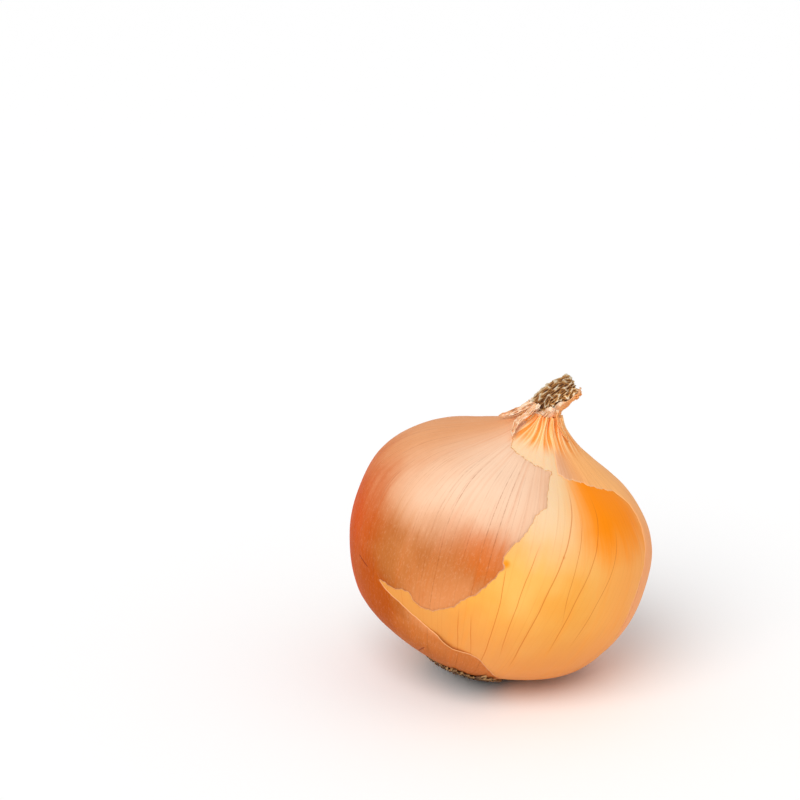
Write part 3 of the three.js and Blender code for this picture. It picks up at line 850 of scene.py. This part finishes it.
def aroundStub(turn, share, outside, relief=0.0):
    line = np.asarray(neckStub["line"], dtype=float)
    centre, along = splineAt(line, share)
    across = unit(np.stack([along[..., 2], np.zeros_like(share), -along[..., 0]], axis=-1))
    deep = np.cross(along, across)
    half = np.interp(share, np.linspace(0, 1, len(line)), neckStub["halfWidth"])
    crease = stubRelief(turn, share) + relief
    wide = (half + outside + crease) * np.sin(turn)
    thick = (neckStub["flatness"] * half + outside + crease) * np.cos(turn)
    return centre + across * wide[..., None] - deep * thick[..., None]


def buildNeckStub():
    look = neckStub
    share, turn = grid(np.linspace(0, 1, look["rows"]), look["columns"])
    wrinkle = fineWrinkle(turn, share)
    relief = 0.9 * (wrinkle - 0.4) * smoothStep(share, 0, 0.08)
    # the tip is a broken crown, hollow in the middle
    crown = smoothStep(share, 0.86, 1.0)
    points = aroundStub(turn, share * 0.88, -0.75 + 0.5 * smoothStep(share, 0.35, 0.0), relief)
    points = points + crown[..., None] * np.array([0.35, 0, 0.5]) * (wrinkle - 0.6)[..., None]
    points = points.reshape(-1, 3)
    foot, tip = points[:look["columns"]].mean(axis=0), points[-look["columns"]:].mean(axis=0)
    points, faces = closedTube(points, look["rows"], look["columns"], foot, tip - look["hollow"])
    piece = makePiece("neckStub", points, faces, neckStubFinish())
    keepNumbers(piece, "ridge", np.concatenate([wrinkle.ravel(), [0, 0]]))
    return piece


def besideStub(f, x, z):
    # how far to the right of the leaning stub's middle line
    return f.minus(x, f.times(f.minus(z, 41.0), 0.55))


def neckStubFinish():
    look = neckStub
    f = Finish("withered neck")
    spot = f.spot()
    ridge = f.attribute("ridge")
    mottle = f.noise(spot, 0.7, 4.0, 0.65)
    grit = f.noise(spot, 2.6, 3.0, 0.7)
    height = f.plus(ridge, f.times(f.minus(grit, 0.5), 0.7))
    # the tissue's dark and pale tones laid by relief height, so the folds carry painted shade and the ridge
    # tops a painted highlight
    f.colour = f.ramp(height, [(place, look[tone]) for place, tone in look["ridgeShadeTones"]])
    x, _, z = f.split(spot)
    shaded = f.between(besideStub(f, x, z), 0.0, -3.5)
    f.lay(f.times(shaded, 0.35), look["dark"])
    f.lay(f.between(mottle, 0.52, 0.66, 0.0, 0.32), look["dark"])
    f.give("Base Color", f.colour)
    f.give("Normal", f.bump(height, 0.6, 0.0005))
    f.give("Roughness", f.between(grit, 0.3, 0.7, 0.6, 0.85))
    return f.material


# papery sleeve and shreds at the neck

neckShreds = {
    "thickness": 0.24,
    "gap": -0.05,
    "columns": 300,
    "rows": 46,
    "tan": paint(240, 186, 140),
    "orange": paint(246, 162, 78),
    "crease": paint(186, 92, 22),
    "brown": paint(150, 84, 38),
    "cream": paint(255, 226, 196),
    "flakes": 34,
    "tipFlakes": 9,
}

# longitude, height and radius along each shred that hangs from the sleeve
hangingShreds = [
    {"width": 3.0, "from": (0, 60, 34),
     "path": [(-66, 42.4, 4.8), (-74, 41.0, 6.4), (-82, 39.0, 8.1), (-90, 37.1, 9.9), (-96, 35.4, 12.2)]},
    {"width": 2.4, "from": (0, 0, -6),
     "path": [(-46, 42.8, 4.5), (-48, 41.2, 5.9), (-47, 39.2, 7.8), (-51, 37.3, 9.4), (-44, 35.6, 11.4),
              (-37, 34.5, 13.3)]},
    {"width": 1.8, "from": (0, 0, -6),
     "path": [(-118, 42.8, 4.5), (-124, 41.2, 5.9), (-128, 38.8, 7.8), (-126, 36.8, 9.8)]},
    {"width": 1.9, "from": (0, 0, -6), "path": [(150, 42.8, 4.5), (156, 41.4, 5.8), (162, 39.2, 7.4)]},
]
# narrow curled ridge that runs down on to the ribs of the neck
curledRidge = [(24, 43.6, 4.8), (31, 41.2, 5.2), (40, 39.0, 6.7), (54, 36.4, 9.4)]


def sleeveReach(turn):
    # nearly to the tip on the right, hardly at all on the left
    fromRight = np.abs(np.mod(turn - 1.65 + np.pi, 2 * np.pi) - np.pi)
    teeth = 0.04 * np.sin(7 * turn) + 0.03 * np.sin(11 * turn + 1)
    torn = 0.03 * waves(turn * 4, 12, 5.0, 5)
    return np.maximum(0.05, 0.06 + 0.83 * smoothStep(1.8 - fromRight, 0.0, 1.4) + teeth) + torn


def buildSleeve():
    look = neckShreds
    turns = roundTurn(look["columns"])
    levels = np.linspace(0, 1, look["rows"])
    walk = [(level, look["thickness"]) for level in levels] + [(level, 0.0) for level in levels[::-1]]
    rows = []
    for level, outside in walk:
        share = level * sleeveReach(turns)
        flare = 0.3 * level**2 * (0.6 + 0.4 * np.sin(5 * turns))
        crinkle = 0.3 * (fineWrinkle(turns + 1.3, share) - 0.5) + 0.1 * level * np.sin(29 * turns + 9 * level)
        crinkle += 0.16 * level**2 * np.sin(13 * turns + 5 * np.sin(2 * turns))
        foot = 0.4 * (1 - level) ** 3
        ring = aroundStub(turns, share, look["gap"] + foot + flare + outside, crinkle)
        ring[:, 2] -= 0.8 * (1 - level) ** 6
        rows.append(ring)
    points = np.vstack(rows)
    faces = ringFaces(len(walk), look["columns"])
    last = (len(walk) - 1) * look["columns"]
    for column in range(look["columns"]):
        after = (column + 1) % look["columns"]
        faces.append((last + column, last + after, after, column))
    return points, faces


def ribbon(path, width, thickness, seed, outwardFrom=(0, 0, -6), steps=36, sides=9):
    # a dry strip along a path: cupped, crinkled, torn to a point, its face turned away from outwardFrom
    rng = np.random.default_rng(seed)
    share = np.linspace(0, 1, steps)
    centre, along = splineAt(path, share)
    outward = centre - np.asarray(outwardFrom, dtype=float)
    across = unit(np.cross(along, outward))
    face = np.cross(across, along)
    breadth = width * (1 - 0.4 * share**1.5) * (1 + 0.14 * waves(share * 10, seed, 4.0, 3))
    breadth *= np.clip((1.02 - share) * 7, 0.15, 1)
    phase = rng.uniform(0, 6, 3)
    cup = rng.uniform(0.1, 0.4)
    folds = rng.uniform(8.5, 11.5)
    rows = []
    for k in range(steps):
        side = np.linspace(-0.5, 0.5, sides)
        lift = cup * breadth[k] * 4 * side**2
        lift += 0.15 * breadth[k] * np.sin(folds * side + 6 * share[k] + phase[0])
        lift += 0.14 * np.sin(21 * share[k] + 5 * side + phase[1])
        lift += 0.07 * np.sin(43 * share[k] - 6 * side + phase[2])
        spine = centre[k] + across[k] * (side * breadth[k])[:, None] + face[k] * lift[:, None]
        top = spine + face[k] * thickness / 2
        bottom = spine - face[k] * thickness / 2
        rows.append(np.vstack([bottom, top[::-1]]))
    points = np.vstack(rows)
    ring = 2 * sides
    faces = ringFaces(steps, ring)
    for start, flip in ((0, True), ((steps - 1) * ring, False)):
        for k in range(sides - 1):
            quad = (start + k, start + k + 1, start + ring - 2 - k, start + ring - 1 - k)
            faces.append(quad[::-1] if flip else quad)
    return points, faces


def gathered(parts):
    points, faces, start = [], [], 0
    for some, few in parts:
        points.append(some)
        faces.extend(tuple(i + start for i in face) for face in few)
        start += len(some)
    return np.vstack(points), faces


def buildNeckShreds():
    look = neckShreds
    parts = [buildSleeve()]
    for number, shred in enumerate(hangingShreds):
        path = [aroundAxis(*stop) for stop in shred["path"]]
        wide, thick, facing = shred["width"], look["thickness"], shred["from"]
        parts.append(ribbon(path, wide * 0.7, thick, 40 + number, facing, steps=44, sides=13))
        # a narrower strip on either side of it
        for strand, (off, size) in enumerate(((0.7, 0.44), (-0.6, 0.34))):
            beside = [(x + off * 0.5, y - 0.5, z + off * 0.6) for x, y, z in path[:-1]]
            parts.append(ribbon(beside, wide * size, thick, 60 + 2 * number + strand, facing))
    parts.append(ribbon([aroundAxis(*stop) for stop in curledRidge], 1.1, 0.2, 90))
    # crumpled flakes in a knot at the foot of the stub, fewer round its back, and a few at its tip
    rng = np.random.default_rng(77)
    for number in range(look["flakes"] + look["tipFlakes"]):
        turn = rng.normal(-0.95, 0.4) if number % 4 else rng.uniform(0, 2 * math.pi)
        start = rng.uniform(0.0, 0.06)
        reach = rng.uniform(0.05, 0.1)
        wide = rng.uniform(0.7, 1.5)
        if number >= look["flakes"]:
            turn, start, reach, wide = rng.uniform(0.9, 2.4), rng.uniform(0.72, 0.86), 0.12, 0.8
        drift = rng.uniform(-0.5, 0.5)
        path = []
        for step in np.linspace(0, 1, 5):
            outside = -0.1 + 0.7 * math.sin(step * math.pi) * rng.uniform(0.3, 1.0) + 0.25 * step
            spot = aroundStub(np.array([turn + drift * step]), np.array([start + reach * step]), outside)
            path.append(tuple(spot[0]))
        centre = aroundStub(np.array([0.0]), np.array([start]), -4.0)[0]
        parts.append(ribbon(path, wide, 0.18, 100 + number, outwardFrom=centre, steps=14, sides=7))
    points, faces = gathered(parts)
    return makePiece("neckShreds", points, faces, neckShredsFinish())


def neckShredsFinish():
    look = neckShreds
    f = Finish("dry shreds")
    spot = f.spot()
    x, y, z = f.split(spot)
    stretched = f.join(f.times(x, 2.2), f.times(y, 2.2), f.times(z, 0.5))
    streaks = f.noise(stretched, 1.0, 4.0, 0.65)
    mottle = f.noise(spot, 0.6, 3.0)
    f.colour = f.mix(f.between(mottle, 0.4, 0.6), look["tan"], look["cream"])
    rightSide = f.between(besideStub(f, x, z), -0.5, 2.5)
    rightSide = f.times(rightSide, f.between(z, 51.0, 48.5, 0.25, 0.85))
    f.lay(rightSide, look["orange"])
    # dark crease streaks: the paper's darker creases with painted shade in them
    crease = f.mix(rightSide, look["brown"], look["crease"])
    f.lay(f.between(streaks, 0.54, 0.7, 0.0, 0.4), crease)
    f.give("Base Color", f.colour)
    f.give("Normal", f.bump(streaks, 0.45, 0.0004))
    f.give("Roughness", f.between(streaks, 0.3, 0.7, 0.5, 0.72))
    f.glow(0.0012, 0.0006, 0.0003)
    return f.material


# root plate and dried roots

rootTuft = {
    "middle": (1.0, -5.0),
    "radius": 12.0,
    "bottom": -35.2,
    "columns": 160,
    "plateRings": [
        (-31.0, 0.86), (-33.0, 0.97), (-33.6, 1.0), (-34.3, 0.99), (-34.9, 0.93), (-35.2, 0.8),
        (-35.2, 0.55), (-35.1, 0.3), (-35.1, 0.05),
    ],  # height and share of the radius
    "pressedTo": 0.3,  # mm above the ground where the plate lies flat
    "baseCurve": 0.0066,  # rise of the root end for each square mm from the axis
    "tip": -36.9,
    "rimRise": 1.2,
    "roots": 620,
    "fringe": 520,
    "fringeReach": 1.6,  # mm up over the skin, and how much more at the front
    "frontReach": 14.5,
    "thick": (0.18, 0.38),
    "sides": 6,
    "steps": 7,
    "dark": paint(58, 34, 16),
    "brown": paint(124, 82, 44),
    "tan": paint(204, 162, 104),
}


def besideRoot(radius, turn):
    middle = rootTuft["middle"]
    return middle[0] + radius * np.cos(turn), middle[1] + radius * np.sin(turn)


def onRootEnd(x, y, height):
    return np.stack([x, y, height + rootTuft["baseCurve"] * (x * x + y * y)], axis=-1)


def rootStrand(radius, turn, rng):
    look = rootTuft
    x, y = besideRoot(radius, turn)
    rim = (radius / look["radius"]) ** 2
    start = onRootEnd(x, y, look["bottom"] + 0.5)
    length = 0.5 - (look["tip"] - look["bottom"]) - look["rimRise"] * rim + rng.uniform(-0.5, 0.5)
    heading = turn + rng.normal(0, 0.8)
    lean = 0.09 * radius + rng.normal(0, 0.4)
    direction = np.array([math.cos(heading) * lean / 2.5, math.sin(heading) * lean / 2.5, -1.0])
    path = [start]
    for _ in range(4):
        direction = unit(direction)
        path.append(path[-1] + direction * length / 4)
        direction = direction + rng.normal(0, 0.45, 3) * np.array([1, 1, 0.5])
    return rootAlong(np.array(path), rng)


def fringeStrand(turn, rng):
    # the outermost roots are pressed up over the margin of the skin
    look = rootTuft
    x, y = besideRoot(look["radius"], turn)
    lon, radius = math.atan2(x, -y), math.hypot(x, y)
    toFront = math.exp(-((math.remainder(turn + 1.45, 2 * math.pi) / 0.65) ** 2))
    clump = 0.7 + 0.3 * math.sin(9 * turn + 2 * math.sin(4 * turn))
    reach = rng.uniform(0.6, 1.0) * clump * (look["fringeReach"] + look["frontReach"] * toFront)
    path = [onRootEnd(x * 0.93, y * 0.93, look["bottom"] - rng.uniform(0, 0.9))]
    for step in (0.1, 0.45, 0.8, 1.0):
        lon += rng.normal(0, 0.025)
        share = float(np.interp(radius + reach * step, sideTable[rootEnd, 0], shareTable[rootEnd]))
        path.append(onSurface(lon, share, rng.uniform(0.35, 0.75) - 0.2 * step))
    return rootAlong(np.array(path), rng)


def onGround(points):
    # a strand that would dip through what the onion lies on is raised on to it
    up = toFrame[2, :3] * 1000
    lowest = (points @ up).min() + onionPlace["middle"][2] - 0.05
    return points - up * min(lowest, 0)


def rootAlong(path, rng):
    look = rootTuft
    share = np.linspace(0, 1, look["steps"])
    centre, along = splineAt(path, share)
    across = unit(np.cross(along, [0.31, 0.87, 0.12]))
    deep = np.cross(along, across)
    thick = rng.uniform(*look["thick"])
    rows = []
    for k in range(look["steps"]):
        turns = roundTurn(look["sides"])
        girth = thick * (1 - 0.35 * share[k]) * (1 + 0.18 * math.sin(17 * share[k] + 90 * thick))
        ring = np.cos(turns)[:, None] * across[k] + np.sin(turns)[:, None] * deep[k]
        rows.append(centre[k] + girth * ring)
    points = np.vstack(rows)
    return onGround(points), cappedTube(look["steps"], look["sides"]), np.repeat(share, look["sides"])


def buildRootTuft():
    look = rootTuft
    rng = np.random.default_rng(31)
    columns, rings = look["columns"], look["plateRings"]
    turns = roundTurn(columns)
    rows = []
    for height, girth in rings:
        rough = 1 + 0.02 * np.sin(7 * turns) + 0.015 * np.sin(12 * turns + 1) + 0.012 * np.sin(41 * turns + 3)
        radius = look["radius"] * girth * rough
        bumps = 0.12 * np.sin(23 * turns + 4 * girth) * girth
        rows.append(onRootEnd(*besideRoot(radius, turns), height + bumps))
    points = np.vstack(rows)
    parts = [(points, [face[::-1] for face in cappedTube(len(rings), columns)])]
    shades = [np.full(len(points), 0.15)]
    golden = math.pi * (3 - math.sqrt(5))
    for index in range(look["roots"] + look["fringe"]):
        turn = index * golden + rng.normal(0, 0.1)
        radius = (look["radius"] - 0.2) * math.sqrt((index + 0.5) / look["roots"])
        isFringe = index >= look["roots"]
        strand, strandFaces, share = fringeStrand(turn, rng) if isFringe else rootStrand(radius, turn, rng)
        parts.append((strand, strandFaces))
        shades.append(np.clip(share * rng.uniform(0.3, 1.15), 0, 1))
    points, faces = gathered(parts)
    isPlate = np.arange(len(points)) < len(shades[0])
    pressedTo = np.where(isPlate, look["pressedTo"], 0.0)
    piece = makePiece("rootTuft", points, faces, rootTuftFinish(), pressedTo)
    keepNumbers(piece, "shade", np.concatenate(shades))
    return piece


def rootTuftFinish():
    look = rootTuft
    f = Finish("dried roots")
    spot = f.spot()
    shade = f.attribute("shade")
    mottle = f.noise(spot, 1.3, 4.0, 0.65)
    f.colour = f.mix(f.between(mottle, 0.4, 0.62), look["dark"], look["brown"])
    f.lay(f.between(shade, 0.3, 1.0, 0.0, 0.85), look["tan"])
    f.give("Base Color", f.colour)
    f.give("Normal", f.bump(mottle, 0.4, 0.0004))
    f.give("Roughness", f.between(mottle, 0.3, 0.7, 0.7, 0.9))
    return f.material


# put the pieces together

buildGoldScale()
print("gold scale built")

skinPiece = buildOuterSkin()
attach(skinPiece, "root")
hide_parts("outer_skin")
print("outer skin built", len(skinPiece.data.polygons))

stubPiece = buildNeckStub()
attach(stubPiece, "root")
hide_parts("neck_stub")

shredPiece = buildNeckShreds()
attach(shredPiece, "root")
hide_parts("neck_shreds")
print("neck built")

rootPiece = buildRootTuft()
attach(rootPiece, "root")
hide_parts("root_tuft")
print("roots built")

# surroundings

studio = {
    "floorColour": paint(252, 252, 252),
    "floorReach": 3.0,  # metres
    "skyStrength": 0.66,
    "keyTilt": (38, -24, 0),  # degrees from straight overhead
    "keySpread": 50,
    "keyStrength": 1.75,
    "cameraRise": 20.0,  # degrees above level, as seen from the onion
    "lookLeft": 2.49,
    "lookDown": 16.62,
    "lens": 110.0,
    "sensor": 36.0,
    "frameWidth": 223.8,  # mm across the picture at the onion
}


def makeFloor():
    mesh = bpy.data.meshes.new("floor")
    reach = studio["floorReach"]
    corners = [(-reach, -reach, 0), (reach, -reach, 0), (reach, reach, 0), (-reach, reach, 0)]
    mesh.from_pydata(corners, [], [(0, 1, 2, 3)])
    floor = addToScene("floor", mesh)
    f = Finish("pale floor")
    f.give("Base Color", studio["floorColour"])
    f.give("Roughness", 0.7)
    mesh.materials.append(f.material)


def makeKeyLight():
    light = bpy.data.lights.new("key", "SUN")
    light.angle = math.radians(studio["keySpread"])
    light.energy = studio["keyStrength"]
    lamp = addToScene("key", light)
    lamp.rotation_euler = tuple(math.radians(angle) for angle in studio["keyTilt"])


def makeCamera():
    look = studio
    data = bpy.data.cameras.new("camera")
    data.lens = look["lens"]
    data.sensor_width = look["sensor"]
    camera = addToScene("camera", data)
    middle = Vector(onionPlace["middle"]) * 0.001
    rise = math.radians(look["cameraRise"])
    away = Vector((0, -math.cos(rise), math.sin(rise)))
    reach = look["frameWidth"] * 0.001 * look["lens"] / look["sensor"]
    camera.location = middle + away * reach
    camera.rotation_euler = (math.radians(90 - look["lookDown"]), 0, math.radians(look["lookLeft"]))
    bpy.context.scene.camera = camera


makeFloor()
makeKeyLight()
makeCamera()

world = bpy.data.worlds.new("studio")
world.use_nodes = True
world.node_tree.nodes["Background"].inputs[0].default_value = (1, 1, 1, 1)
world.node_tree.nodes["Background"].inputs[1].default_value = studio["skyStrength"]
bpy.context.scene.world = world
bpy.context.scene.view_settings.view_transform = "Standard"
print("studio ready")
